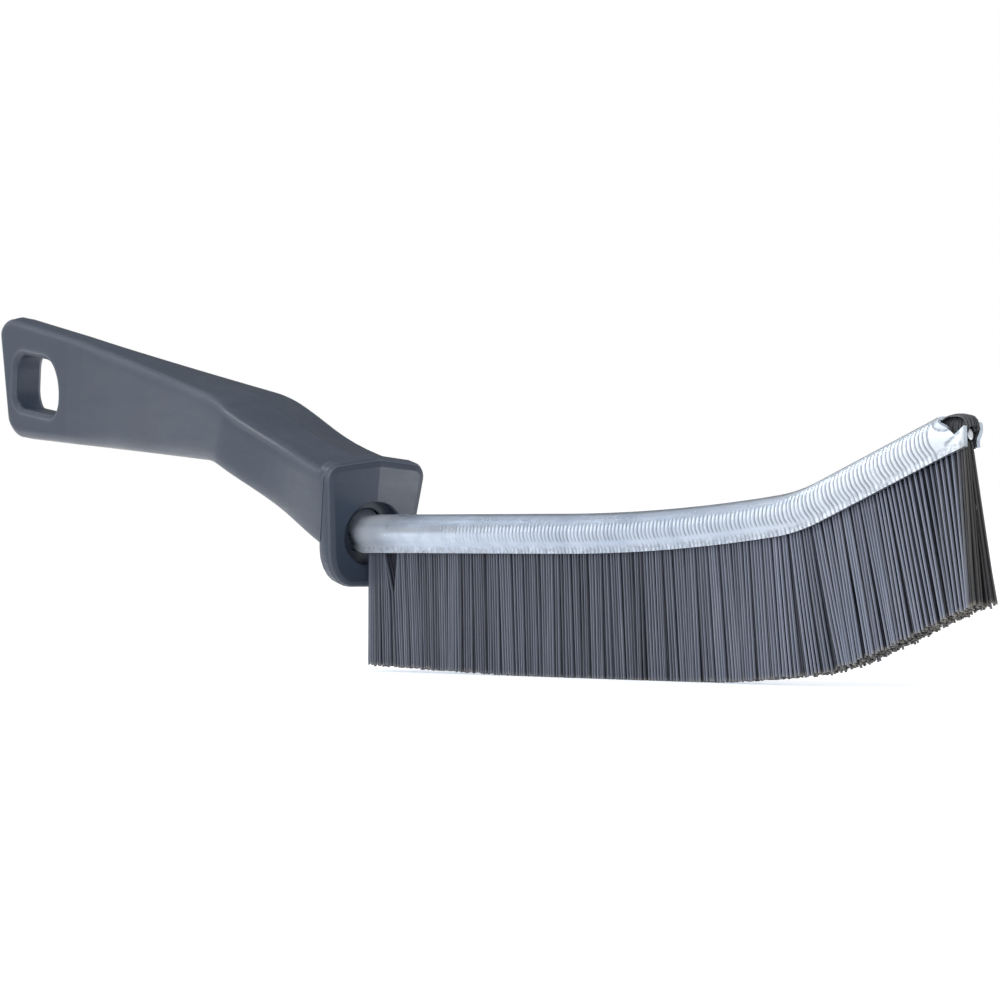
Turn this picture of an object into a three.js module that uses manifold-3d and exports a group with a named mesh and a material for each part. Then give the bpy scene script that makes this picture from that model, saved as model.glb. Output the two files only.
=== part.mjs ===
// Tile brush: a strip-brush head with a kicked-up toe, seated in a moulded plastic handle.
// Millimetres. +X runs from the handle to the toe, +Z is up and the filaments point down.
// The brush is symmetrical about Y = 0. The sizes below place the strip's axis at Z = 0 and the
// start of its bristles at X = 0; the finished group is then stood on its filament tips.

import * as THREE from 'three';
import { mergeVertices } from 'three/addons/utils/BufferGeometryUtils.js';
import Module from 'manifold-3d';

// Clearance left between pieces that touch
const FIT_GAP = 0.3;

// Channel section: a round crown that holds the folded filaments, and two lips that grip them
const STRIP_HEIGHT = 5.8;
const CROWN_WIDTH = 5.4;
const LIP_WIDTH = 3.4;
const SHEET_THICKNESS = 0.5;

// Channel route, from the end inside the handle to the toe
const TANG_LENGTH = 13;
const TANG_ANGLE = 33;
const TANG_BEND_RADIUS = 6;
const HEEL_LENGTH = 58;
const SWEEP_LENGTH = 58;
const SWEEP_ANGLE = 4.8;
const KICK_LENGTH = 12;
const KICK_ANGLE = 10.8;
const TOE_LENGTH = 35.4;

// Slanting cut that takes the crown off at the toe end
const TOE_CUT_LENGTH = 5;
const TOE_CUT_DEPTH = 2.4;

// Wire that the filaments are folded over
const WIRE_DIAMETER = 2.2;
const WIRE_SETBACK = 0.8;

// Filaments: free lengths below the lips, how far the tips fan out from the middle plane, and how far
// they lead their roots along the strip. Towards both ends they are pushed back, and at the toe they
// fan out more.
const ROOT_SHOW_DEPTH = 0.4;
const HEEL_BRISTLE_LENGTH = 17.1;
const KICK_BRISTLE_LENGTH = 19.5;
const TOE_BRISTLE_LENGTH = 20.7;
const TIP_SPREAD = 1.6;
const TOE_TIP_SPREAD = 2.3;
const TIP_LEAD_LENGTH = 1.4;
const HEEL_PUSH_LENGTH = 2.2;
const HEEL_SPLAY_LENGTH = 10;
const TOE_PUSH_LENGTH = 3.6;
const TOE_SPLAY_LENGTH = 13.4;
const SPLAY_POWER = 1.6;
const STRAND_WIDTH = 0.56;
const STRAND_PITCH = 0.78;
const STRAND_ROOT_DEPTH = 1;
const STAND_FLAT_HEIGHT = 0.5;

// Handle route: a neck that rises from the collar, then a flatter grip
const NECK_LENGTH = 35.6;
const NECK_ANGLE = 20.4;
const KNEE_RADIUS = 30;
const GRIP_LENGTH = 80.4;
const GRIP_ANGLE = 6.8;
const NECK_RISE = 2.8;
const NECK_SETBACK = 2;

// Handle section: heights across the route, and thicknesses in Y. The neck is waisted between the knee
// and the collar, and its top climbs to the collar's corners.
const NECK_HEIGHT = 9.8;
const NECK_CREST = 2.4;
const NECK_CREST_POWER = 2.5;
const NECK_WAIST = 2;
const KNEE_HEIGHT = 9.7;
const GRIP_END_HEIGHT = 20.4;
const NECK_STEP = 0.08;
const KNEE_WIDTH = 15.2;
const GRIP_THICKNESS = 5.4;
const GRIP_FLAT_LENGTH = 24;
const GRIP_FLARE_POWER = 1.4;
const GRIP_CORNER = 4.6;
const GRIP_END_LEAN = 16;
const EDGE_RADIUS = 1.3;
const DRAFT = 6;

// Hang slot near the grip's end: small corners behind and below, a large round in front and above
const SLOT_LENGTH = 16.3;
const SLOT_HEIGHT = 9;
const SLOT_WALL = 4.3;
const SLOT_CORNER = 3;
const SLOT_RISE = -0.3;
const SLOT_EASE = 0.7;

// Collar plate at the front of the neck, tipped forward and narrower below, with a shallow ridge down
// its face
const COLLAR_WIDTH = 17.6;
const COLLAR_HEIGHT = 19.2;
const COLLAR_DEPTH = 4;
const COLLAR_TILT = 12;
const COLLAR_TAPER = 6.5;
const COLLAR_RISE = 1.2;
const COLLAR_SETBACK = 0.4;
const COLLAR_RIDGE = 0.7;
const COLLAR_TOP_CORNER = 2.6;
const COLLAR_FOOT_CORNER = 5;
const COLLAR_EDGE = 1.1;

// Round recess in the collar's face where the strip goes in
const RECESS_DIAMETER = 10;
const RECESS_DEPTH = 2.2;

// How finely round stretches are divided
const ARC_STEPS = 6;
const CROWN_STEPS = 14;
const WIRE_SIDES = 10;
const BEND_STEPS = 5;
const RECESS_SIDES = 32;
const HANDLE_STEPS = 10;

// Strand tips stand in this many ranks on each side of the fan
const TIP_RANKS = 3;

// Largest share of the room for it that a corner may round off
const CORNER_SHARE = 0.95;

// Points and rings closer than this are one
const JOIN_TOLERANCE = 1e-5;

const wasm = await Module();
wasm.setup();

const radians = THREE.MathUtils.degToRad;

// Solids and joining

function solid(geometry) {
  const bare = geometry.clone();
  bare.deleteAttribute('normal');
  bare.deleteAttribute('uv');
  const merged = mergeVertices(bare, JOIN_TOLERANCE);
  const mesh = new wasm.Mesh({
    numProp: 3,
    vertProperties: new Float32Array(merged.attributes.position.array),
    triVerts: new Uint32Array(merged.index.array),
  });
  return new wasm.Manifold(mesh);
}

function surface(body) {
  const mesh = body.getMesh();
  const geometry = new THREE.BufferGeometry();
  geometry.setAttribute('position', new THREE.BufferAttribute(mesh.vertProperties, 3));
  geometry.setIndex(new THREE.BufferAttribute(mesh.triVerts, 1));
  return geometry;
}

// Skin over a row of rings that all have the same number of points. A cap is filled in one piece, or
// in two halves that meet along the line from the ring's first point to its middle one.
function loft(rings, halves = false) {
  const count = rings[0].length;
  const positions = rings.flat().flatMap((point) => [point.x, point.y, point.z]);
  const faces = [];
  for (let ring = 0; ring < rings.length - 1; ring += 1) {
    for (let i = 0; i < count; i += 1) {
      const a = ring * count + i;
      const b = ring * count + ((i + 1) % count);
      faces.push(a, b, a + count, b, b + count, a + count);
    }
  }
  const pieces = halves
    ? [range(0, count / 2), [...range(count / 2, count - 1), 0]]
    : [range(0, count - 1)];
  const last = (rings.length - 1) * count;
  for (const piece of pieces) {
    for (const [a, b, c] of fill(piece.map((i) => rings[0][i]))) {
      faces.push(piece[a], piece[c], piece[b]);
    }
    for (const [a, b, c] of fill(piece.map((i) => rings.at(-1)[i]))) {
      faces.push(last + piece[a], last + piece[b], last + piece[c]);
    }
  }
  const geometry = new THREE.BufferGeometry();
  geometry.setAttribute('position', new THREE.Float32BufferAttribute(positions, 3));
  geometry.setIndex(faces);
  return geometry;
}

function range(first, last) {
  return Array.from({ length: last - first + 1 }, (_, i) => first + i);
}

// Triangles that fill a flat loop of points, turned the same way as the loop
function fill(loop) {
  const normal = new THREE.Vector3();
  loop.forEach((point, i) => {
    normal.add(new THREE.Vector3().crossVectors(point, loop[(i + 1) % loop.length]));
  });
  normal.normalize();
  const turn = new THREE.Quaternion().setFromUnitVectors(normal, new THREE.Vector3(0, 0, 1));
  const flat = loop.map((point) => point.clone().applyQuaternion(turn));
  return THREE.ShapeUtils.triangulateShape(flat.map((p) => new THREE.Vector2(p.x, p.y)), []);
}

// Routes in the middle plane

// A chain of straight and round legs; at(s) gives the place and heading at a length along it
function route(start, heading, legs) {
  const joints = [];
  let place = { x: start.x, z: start.z, heading };
  let length = 0;
  for (const leg of legs) {
    joints.push({ ...leg, from: length, place });
    place = along(place, leg, leg.length);
    length += leg.length;
  }
  joints.push({ length: 0, turn: 0, from: length, place });
  return {
    length,
    joints,
    at(s) {
      const joint = joints.findLast((candidate) => candidate.from <= s) ?? joints[0];
      return along(joint.place, joint, s - joint.from);
    },
    // Lengths from one point to another at which a sweep needs a ring
    stops(first, last) {
      const list = [first, last];
      for (const joint of joints) {
        const steps = joint.turn ? BEND_STEPS : 1;
        for (let i = 0; i < steps; i += 1) {
          list.push(joint.from + (joint.length * i) / steps);
        }
      }
      const inside = list.filter((s) => s >= first && s <= last).sort((a, b) => a - b);
      return inside.filter((s, i) => i === 0 || s - inside[i - 1] > JOIN_TOLERANCE);
    },
  };
}

function along(place, leg, distance) {
  const bend = leg.turn ? (leg.turn * distance) / leg.length : 0;
  const reach = bend ? (distance * Math.sin(bend / 2)) / (bend / 2) : distance;
  const chord = place.heading + bend / 2;
  return {
    x: place.x + reach * Math.cos(chord),
    z: place.z + reach * Math.sin(chord),
    heading: place.heading + bend,
  };
}

// Point of a section that stands square across a route: y is across, up is away from the filaments
function across(place, y, up) {
  const x = place.x - up * Math.sin(place.heading);
  const z = place.z + up * Math.cos(place.heading);
  return new THREE.Vector3(x, y, z);
}

function sweep(outline, path, first, last) {
  const rings = path.stops(first, last).map((s) => {
    const place = path.at(s);
    return outline.map((point) => across(place, point.x, point.y));
  });
  return loft(rings);
}

const tangTurn = radians(TANG_ANGLE);
const tangReach = TANG_LENGTH * Math.cos(tangTurn) + TANG_BEND_RADIUS * Math.sin(tangTurn);
const tangRise = TANG_LENGTH * Math.sin(tangTurn) + TANG_BEND_RADIUS * (1 - Math.cos(tangTurn));
const strip = route({ x: -tangReach, z: tangRise }, -tangTurn, [
  { length: TANG_LENGTH, turn: 0 },
  { length: TANG_BEND_RADIUS * tangTurn, turn: tangTurn },
  { length: HEEL_LENGTH, turn: 0 },
  { length: SWEEP_LENGTH, turn: radians(SWEEP_ANGLE) },
  { length: KICK_LENGTH, turn: radians(KICK_ANGLE) },
  { length: TOE_LENGTH, turn: 0 },
]);
const heelStart = strip.joints[2].from;
const kickStart = strip.joints[4].from;
const toeStart = strip.joints[5].from;

// Strip sections

const stripTop = STRIP_HEIGHT / 2;
const stripFoot = -STRIP_HEIGHT / 2;
const crownRise = stripTop - CROWN_WIDTH / 2;

// Round crown of a radius, narrowing to two straight legs that end at a foot level
function keyhole(radius, leg, foot) {
  const mouth = Math.asin(leg / radius);
  const shape = new THREE.Shape();
  shape.moveTo(leg, foot);
  shape.lineTo(leg, crownRise - radius * Math.cos(mouth));
  shape.absarc(0, crownRise, radius, mouth - Math.PI / 2, 1.5 * Math.PI - mouth, false);
  shape.lineTo(-leg, foot);
  return shape.getPoints(CROWN_STEPS / 2);
}

function channelOutline() {
  const outer = keyhole(CROWN_WIDTH / 2, LIP_WIDTH / 2, stripFoot);
  const inner = keyhole(CROWN_WIDTH / 2 - SHEET_THICKNESS, LIP_WIDTH / 2 - SHEET_THICKNESS, stripFoot);
  return [...outer, ...inner.reverse()];
}

function round(radius, sides) {
  return range(0, sides - 1).map((i) => {
    const angle = (2 * Math.PI * i) / sides;
    return new THREE.Vector2(radius * Math.cos(angle), crownRise + radius * Math.sin(angle));
  });
}

// Sheet-metal channel

function channel() {
  const body = solid(sweep(channelOutline(), strip, 0, strip.length));
  const end = strip.at(strip.length);
  const cut = new THREE.Shape();
  cut.moveTo(-TOE_CUT_LENGTH, stripTop);
  cut.lineTo(FIT_GAP, stripTop - TOE_CUT_DEPTH * (1 + FIT_GAP / TOE_CUT_LENGTH));
  cut.lineTo(FIT_GAP, stripTop + TOE_CUT_DEPTH);
  cut.lineTo(-TOE_CUT_LENGTH, stripTop + TOE_CUT_DEPTH);
  const wedge = new THREE.ExtrudeGeometry(cut, { depth: 2 * CROWN_WIDTH, bevelEnabled: false });
  wedge.translate(0, 0, -CROWN_WIDTH);
  wedge.rotateX(Math.PI / 2);
  wedge.rotateY(-end.heading);
  wedge.translate(end.x, 0, end.z);
  return surface(body.subtract(solid(wedge)));
}

function coreWire() {
  const outline = round(WIRE_DIAMETER / 2, WIRE_SIDES);
  return sweep(outline, strip, 0, strip.length - WIRE_SETBACK);
}

// Filaments

const bristleStart = heelStart;
const bristleEnd = strip.length;
const legHalf = LIP_WIDTH / 2 - SHEET_THICKNESS - FIT_GAP;
const rootFoot = stripFoot - ROOT_SHOW_DEPTH;

function bristleLength(s) {
  if (s < kickStart) {
    return THREE.MathUtils.mapLinear(s, bristleStart, kickStart, HEEL_BRISTLE_LENGTH, KICK_BRISTLE_LENGTH);
  }
  const share = Math.min(1, (s - kickStart) / (toeStart - kickStart));
  return THREE.MathUtils.lerp(KICK_BRISTLE_LENGTH, TOE_BRISTLE_LENGTH, share);
}

// How far an end stretch of the strip has been splayed at a distance from that end, from 0 to 1
function splay(distance, stretch) {
  return Math.max(0, 1 - distance / stretch) ** SPLAY_POWER;
}

// One strand for each place along a side; its tip stands in one of the ranks of the fan
function strands(first, last) {
  const list = [];
  for (const side of [-1, 1]) {
    const start = bristleStart + (side > 0 ? STRAND_PITCH : STRAND_PITCH / 2);
    const count = Math.floor((bristleEnd - start - STRAND_WIDTH) / STRAND_PITCH);
    for (const i of range(0, count)) {
      const s = start + STRAND_PITCH * i;
      const heel = splay(s - bristleStart, HEEL_SPLAY_LENGTH);
      const toe = splay(bristleEnd - s, TOE_SPLAY_LENGTH);
      const spread = THREE.MathUtils.lerp(TIP_SPREAD, TOE_TIP_SPREAD, toe);
      const share = ((i + (side > 0 ? 1 : 0)) % TIP_RANKS) / (TIP_RANKS - 1);
      if (s >= first && s < last) {
        list.push({
          s,
          root: (side * legHalf) / 2,
          tip: side * THREE.MathUtils.lerp(STRAND_WIDTH, spread, share),
          lead: TIP_LEAD_LENGTH - HEEL_PUSH_LENGTH * heel - TOE_PUSH_LENGTH * toe,
        });
      }
    }
  }
  return list;
}

function strandRing(strand, y, up, forward) {
  const place = strip.at(strand.s);
  const half = STRAND_WIDTH / 2;
  const lead = new THREE.Vector3(Math.cos(place.heading), 0, Math.sin(place.heading));
  const corners = [[-half, -half], [half, -half], [half, half], [-half, half]];
  return corners.map(([step, shift]) => {
    return across(place, y + shift, up).addScaledVector(lead, forward + step);
  });
}

function tipRing(strand) {
  return strandRing(strand, strand.tip, stripFoot - bristleLength(strand.s), strand.lead);
}

function strandSolid(strand) {
  return solid(loft([
    tipRing(strand),
    strandRing(strand, strand.root, rootFoot + STRAND_ROOT_DEPTH, 0),
  ]));
}

function lowestTip() {
  const corners = strands(bristleStart, bristleEnd).flatMap(tipRing);
  return Math.min(...corners.map((corner) => corner.z));
}

// The filaments stand on this level, so their tips are trimmed flat along it
const standLevel = lowestTip() + STAND_FLAT_HEIGHT;

function bristleBank(first, last) {
  const radius = CROWN_WIDTH / 2 - SHEET_THICKNESS - FIT_GAP;
  const roots = solid(sweep(keyhole(radius, legHalf, rootFoot), strip, first, last));
  const tunnelOutline = round(WIRE_DIAMETER / 2 + FIT_GAP, WIRE_SIDES);
  const tunnel = solid(sweep(tunnelOutline, strip, first - FIT_GAP, last + FIT_GAP));
  let bank = roots.subtract(tunnel);
  for (const strand of strands(first + STRAND_WIDTH / 2, last - STRAND_WIDTH / 2)) {
    bank = bank.add(strandSolid(strand));
  }
  const near = strip.at(first);
  const far = strip.at(last);
  const floorLength = far.x - near.x + 2 * TOE_BRISTLE_LENGTH;
  const floor = new THREE.BoxGeometry(floorLength, 4 * TOE_TIP_SPREAD, TOE_BRISTLE_LENGTH);
  floor.translate((near.x + far.x) / 2, 0, standLevel - TOE_BRISTLE_LENGTH / 2);
  return surface(bank.subtract(solid(floor)));
}

// Handle

const gripTurn = radians(GRIP_ANGLE);
const neckTurn = radians(NECK_ANGLE);
const kneeTurn = neckTurn - gripTurn;
const handleLegs = [
  { length: GRIP_LENGTH, turn: 0 },
  { length: KNEE_RADIUS * kneeTurn, turn: -kneeTurn },
  { length: NECK_LENGTH, turn: 0 },
];
const handleReach = route({ x: 0, z: 0 }, -gripTurn, handleLegs);
const handleTip = handleReach.at(handleReach.length);
const handleStart = { x: -NECK_SETBACK - handleTip.x, z: NECK_RISE - handleTip.z };
const handleRoute = route(handleStart, -gripTurn, handleLegs);
const kneeStart = handleRoute.joints[1].from;
const kneeEnd = handleRoute.joints[2].from;
const collarTaper = radians(COLLAR_TAPER);

// Rounded rectangle whose top falls away from the middle, as a moulding drafts from its parting line,
// and so does its foot unless that is flat. The ring starts at the middle of the foot and has its
// middle point at the top.
function moulded(halfWidth, halfHeight, topRadius, footRadius, flatFoot = false) {
  const rise = halfWidth * Math.tan(radians(DRAFT));
  const limit = CORNER_SHARE * Math.min(halfWidth, halfHeight);
  const points = [new THREE.Vector2(0, -halfHeight - (flatFoot ? 0 : rise))];
  const corner = (sideways, upright, size, from) => {
    const radius = Math.min(size, limit);
    for (let i = 0; i <= ARC_STEPS; i += 1) {
      const angle = from + (Math.PI / 2) * (i / ARC_STEPS);
      points.push(new THREE.Vector2(
        sideways * (halfWidth - radius) + radius * Math.cos(angle),
        upright * (halfHeight - radius) + radius * Math.sin(angle),
      ));
    }
  };
  corner(1, -1, footRadius, -Math.PI / 2);
  corner(1, 1, topRadius, 0);
  points.push(new THREE.Vector2(0, halfHeight + rise));
  corner(-1, 1, topRadius, Math.PI / 2);
  corner(-1, -1, footRadius, Math.PI);
  return points;
}

function handleSize(s) {
  if (s > kneeEnd) {
    const share = (s - kneeEnd) / (handleRoute.length - kneeEnd);
    const waist = NECK_WAIST * Math.sin(Math.PI * share) ** 2;
    return {
      height: THREE.MathUtils.lerp(KNEE_HEIGHT, NECK_HEIGHT, share),
      crest: NECK_CREST * share ** NECK_CREST_POWER,
      width: THREE.MathUtils.lerp(KNEE_WIDTH, COLLAR_WIDTH - 2 * NECK_STEP, share) - waist,
      taper: collarTaper * share,
    };
  }
  const flare = Math.max(0, (s - GRIP_FLAT_LENGTH) / (kneeEnd - GRIP_FLAT_LENGTH));
  return {
    height: THREE.MathUtils.lerp(GRIP_END_HEIGHT, KNEE_HEIGHT, s / kneeEnd),
    crest: 0,
    width: THREE.MathUtils.lerp(GRIP_THICKNESS, KNEE_WIDTH, flare ** GRIP_FLARE_POWER),
    taper: 0,
  };
}

// Outline drawn in towards the middle plane, evenly from none at a top level
function narrow(outline, taper, top) {
  const half = Math.max(...outline.map((point) => point.x));
  return outline.map((point) => {
    const share = 1 - (Math.tan(taper) * (top - point.y)) / half;
    return new THREE.Vector2(point.x * share, point.y);
  });
}

// How far a rounded end of a radius has drawn in at a distance from its tip
function drawIn(radius, distance) {
  const short = Math.max(0, radius - distance);
  return radius - Math.sqrt(radius * radius - short * short);
}

function handleBlade() {
  const rounding = range(0, 2 * ARC_STEPS).map((i) => {
    return GRIP_CORNER * (1 - Math.cos((Math.PI / 2) * (i / (2 * ARC_STEPS))));
  });
  const divide = (from, to) => range(0, HANDLE_STEPS).map((i) => from + (to - from) * (i / HANDLE_STEPS));
  const stops = [
    ...rounding,
    ...divide(GRIP_FLAT_LENGTH, kneeStart),
    ...handleRoute.stops(kneeStart, kneeEnd).slice(1, -1),
    ...divide(kneeEnd, handleRoute.length),
  ];
  const rings = stops.map((s) => {
    const place = handleRoute.at(s);
    const size = handleSize(s);
    const halfWidth = size.width / 2 - drawIn(EDGE_RADIUS, s);
    const halfHeight = (size.height + size.crest) / 2 - drawIn(GRIP_CORNER, s);
    const outline = moulded(halfWidth, halfHeight, EDGE_RADIUS, EDGE_RADIUS);
    outline.forEach((point) => point.setY(point.y + size.crest / 2));
    const lean = Math.tan(radians(GRIP_END_LEAN)) * Math.max(0, 1 - s / GRIP_FLAT_LENGTH);
    const back = (point) => new THREE.Vector3(-lean * point.y, 0, 0);
    const narrowed = narrow(outline, size.taper, COLLAR_HEIGHT / 2 - NECK_RISE);
    return narrowed.map((point) => across(place, point.x, point.y).add(back(point)));
  });
  return solid(loft(rings, true));
}

// Collar axis: square to the plate, pointing out of its face and down
const collarTilt = radians(COLLAR_TILT);
const collarOut = new THREE.Vector3(Math.cos(collarTilt), 0, -Math.sin(collarTilt));
const collarUp = new THREE.Vector3(Math.sin(collarTilt), 0, Math.cos(collarTilt));

function collarPoint(out, y, up) {
  const point = new THREE.Vector3(-COLLAR_SETBACK, y, 0).addScaledVector(collarOut, out);
  return point.addScaledVector(collarUp, up);
}

function collarRing(out, inset, ridge) {
  const halfWidth = COLLAR_WIDTH / 2 - inset;
  const halfHeight = COLLAR_HEIGHT / 2 - inset;
  const topRadius = COLLAR_TOP_CORNER - inset;
  const footRadius = COLLAR_FOOT_CORNER - inset;
  const outline = moulded(halfWidth, halfHeight, topRadius, footRadius, true);
  return narrow(outline, collarTaper, COLLAR_HEIGHT / 2).map((point) => {
    const forward = ridge * (1 - Math.abs(point.x) / (COLLAR_WIDTH / 2));
    return collarPoint(out + forward, point.x, point.y + COLLAR_RISE);
  });
}

function collarPlate() {
  const soft = COLLAR_EDGE * (1 - Math.SQRT1_2);
  return solid(loft([
    collarRing(-COLLAR_DEPTH, COLLAR_EDGE, 0),
    collarRing(-COLLAR_DEPTH + soft, soft, 0),
    collarRing(-COLLAR_DEPTH + COLLAR_EDGE, 0, 0),
    collarRing(-COLLAR_EDGE, 0, COLLAR_RIDGE),
    collarRing(-soft, soft, COLLAR_RIDGE),
    collarRing(0, COLLAR_EDGE, COLLAR_RIDGE),
  ], true));
}

function recess() {
  const depth = RECESS_DEPTH + COLLAR_DEPTH;
  const radius = RECESS_DIAMETER / 2;
  const bore = new THREE.CylinderGeometry(radius, radius, depth, RECESS_SIDES);
  bore.rotateZ(-Math.PI / 2);
  bore.translate(depth / 2 - RECESS_DEPTH, 0, 0);
  bore.rotateY(collarTilt);
  bore.translate(-COLLAR_SETBACK, 0, 0);
  return solid(bore);
}

// Socket that follows the strip's tang with the fit clearance all round
function socket() {
  const outline = keyhole(CROWN_WIDTH / 2 + FIT_GAP, LIP_WIDTH / 2 + FIT_GAP, stripFoot - FIT_GAP);
  return solid(sweep(outline, strip, -FIT_GAP, heelStart + RECESS_DIAMETER));
}

// Slot outline, seen from the side, grown all round by an amount. The large round takes nearly all of
// the front that the small corner below it leaves.
function slotOutline(grow) {
  const small = SLOT_CORNER;
  const large = CORNER_SHARE * (SLOT_HEIGHT - small);
  const back = SLOT_WALL;
  const front = SLOT_WALL + SLOT_LENGTH;
  const foot = SLOT_RISE - SLOT_HEIGHT / 2;
  const top = SLOT_RISE + SLOT_HEIGHT / 2;
  const turn = Math.PI / 2;
  const shape = new THREE.Shape();
  shape.absarc(back + small, foot + small, small + grow, 2 * turn, 3 * turn, false);
  shape.absarc(front - small, foot + small, small + grow, 3 * turn, 4 * turn, false);
  shape.absarc(front - large, top - large, large + grow, 0, turn, false);
  shape.absarc(back + small, top - small, small + grow, turn, 2 * turn, false);
  return shape.getPoints(ARC_STEPS);
}

function hangSlot() {
  const end = handleRoute.at(0);
  const face = GRIP_THICKNESS / 2;
  const ring = (y, grow) => slotOutline(grow).map((point) => {
    const x = end.x + point.x * Math.cos(end.heading) - point.y * Math.sin(end.heading);
    const z = end.z + point.x * Math.sin(end.heading) + point.y * Math.cos(end.heading);
    return new THREE.Vector3(x, y, z);
  });
  return solid(loft([
    ring(face + SLOT_EASE, 2 * SLOT_EASE),
    ring(face - SLOT_EASE, 0),
    ring(SLOT_EASE - face, 0),
    ring(-face - SLOT_EASE, 2 * SLOT_EASE),
  ]));
}

function handle() {
  const body = handleBlade().add(collarPlate());
  return surface(body.subtract(hangSlot()).subtract(recess()).subtract(socket()));
}

// Materials

const plastic = { color: 0x50555f, roughness: 0.55, metalness: 0 };
const zinc = { color: 0xb8c3d1, roughness: 0.35, metalness: 1 };
const steel = { color: 0xd5d8dc, roughness: 0.3, metalness: 1 };
const filament = { color: 0x565a65, roughness: 0.6, metalness: 0 };

function piece(name, geometry, look) {
  const mesh = new THREE.Mesh(geometry, new THREE.MeshStandardMaterial({ ...look, flatShading: true }));
  mesh.name = name;
  return mesh;
}

// Assembly

const brush = new THREE.Group();
brush.add(piece('handle', handle(), plastic));
brush.add(piece('strip_channel', channel(), zinc));
brush.add(piece('core_wire', coreWire(), steel));

const bankNames = ['bristles_heel', 'bristles_rear', 'bristles_front', 'bristles_toe'];
const bankLength = (bristleEnd - bristleStart) / bankNames.length;
bankNames.forEach((name, i) => {
  const first = bristleStart + i * bankLength;
  const gap = i < bankNames.length - 1 ? FIT_GAP : 0;
  brush.add(piece(name, bristleBank(first, first + bankLength - gap), filament));
});

// The origin is under the middle of the brush, at the level that its filaments stand on
const extent = new THREE.Box3().setFromObject(brush);
brush.position.set(-(extent.min.x + extent.max.x) / 2, 0, -extent.min.z);

export default brush;
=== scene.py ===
import math
import random

import bmesh
import bpy
from mathutils import Matrix, Vector


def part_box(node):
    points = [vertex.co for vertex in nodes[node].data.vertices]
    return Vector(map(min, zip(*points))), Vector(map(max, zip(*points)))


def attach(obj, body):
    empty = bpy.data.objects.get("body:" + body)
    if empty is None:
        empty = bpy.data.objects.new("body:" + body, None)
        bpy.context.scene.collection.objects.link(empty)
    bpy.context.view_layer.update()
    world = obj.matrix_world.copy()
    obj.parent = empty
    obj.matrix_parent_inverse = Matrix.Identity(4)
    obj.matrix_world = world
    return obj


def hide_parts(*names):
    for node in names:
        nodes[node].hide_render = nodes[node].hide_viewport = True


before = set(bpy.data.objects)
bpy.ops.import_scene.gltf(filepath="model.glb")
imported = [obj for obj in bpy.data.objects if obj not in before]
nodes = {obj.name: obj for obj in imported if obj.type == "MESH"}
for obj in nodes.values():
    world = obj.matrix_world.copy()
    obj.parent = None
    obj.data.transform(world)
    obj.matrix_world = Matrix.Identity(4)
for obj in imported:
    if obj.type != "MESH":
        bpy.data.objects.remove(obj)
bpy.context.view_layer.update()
scene = bpy.context.scene
scene.view_settings.view_transform = "Standard"

# Sizes in millimetres. The strip's route and section repeat those of the solids.
MM = 0.001
TANG_LENGTH = 13.0
TANG_ANGLE = 33.0
TANG_BEND_RADIUS = 6.0
HEEL_LENGTH = 58.0
SWEEP_LENGTH = 58.0
SWEEP_ANGLE = 4.8
KICK_LENGTH = 12.0
KICK_ANGLE = 10.8
TOE_LENGTH = 35.4
STRIP_HEIGHT = 5.8
CROWN_WIDTH = 5.4
LIP_WIDTH = 3.4
SHEET = 0.5
FIT = 0.3
TOE_CUT_LENGTH = 5.0
TOE_CUT_DEPTH = 2.4

# Crimp ribs pressed into the channel's sides
RIB_PITCH = 1.04
GROOVE_HALF = 0.46
GROOVE_DEPTH = 0.2
RINGS_PER_RIB = 6
TANG_RINGS = 8
BEND_RINGS = 10
OUTLINE_STEP = 0.34
RIB_START = 12.0
RIB_TOE_MARGIN = 4.9
GROOVE_SHIFT = 0.06
GROOVE_SIZES = (0.7, 1.15)

# Levels of the ribs' top and foot before and after the kick, where they change, and their fades
RIB_TOP = (1.25, 2.3)
RIB_FOOT = (-1.0, -1.9)
RIB_CHANGE = (112, 130)
RIB_TOP_FADE = 0.45
RIB_FOOT_FADE = 0.5
LIP_RIB_DEPTH = 0.7
LIP_RIB_FADE = (-2.1, -1.8)
RIB_GROWTH = ((RIB_START, 44), (34, 66))

# Tones along the sheet: painted reflection as a dark line and dark top of the crown, grainy lip,
# dull heel, and a painted highlight that makes the toe bright
CROWN_REFLECTION_LINE = (1.35, 0.28, 0.9)
CROWN_TOP_REFLECTION_FADE = (2.5, 2.72)
CROWN_TOP_REFLECTION = 0.8
CROWN_REFLECTION_END = (118, 135)
LIP_GRAIN_FADE = (-2.1, -1.7)
HEEL_DULL_FADE = (1, 14)
TOE_HIGHLIGHT_FADE = (85, 150)

# Filaments: free lengths, how far the tips fan out, and how far they lead their roots
HEEL_BRISTLE = 17.1
KICK_BRISTLE = 19.5
TOE_BRISTLE = 20.7
TIP_SPREAD = 1.6
TOE_TIP_SPREAD = 2.3
TIP_LEAD = 1.4
HEEL_PUSH = 0.8
HEEL_SPLAY = 10.0
TOE_PUSH = 3.6
TOE_SPLAY = 13.4
TOE_TRIM = 0.5
SPLAY_POWER = 1.6
FILAMENT = 0.36
FILAMENT_SIDES = 5
FILAMENT_STEPS = (0.0, 0.1, 0.22, 0.38, 0.68, 1.0)
ROOT_HALF = 0.9
ROOT_LEVEL = 0.9
LAYERS = 7
OUTER_PITCH = 0.72
END_PITCH = 0.36
TOE_PITCH = 1.2
INNER_PITCH = 0.5
SEED = 7

# Angles in degrees under which edges are shaded smooth
SHEET_SMOOTH = 50
FILAMENT_SMOOTH = 60
WIRE_SMOOTH = 30
HANDLE_SMOOTH = 50

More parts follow.
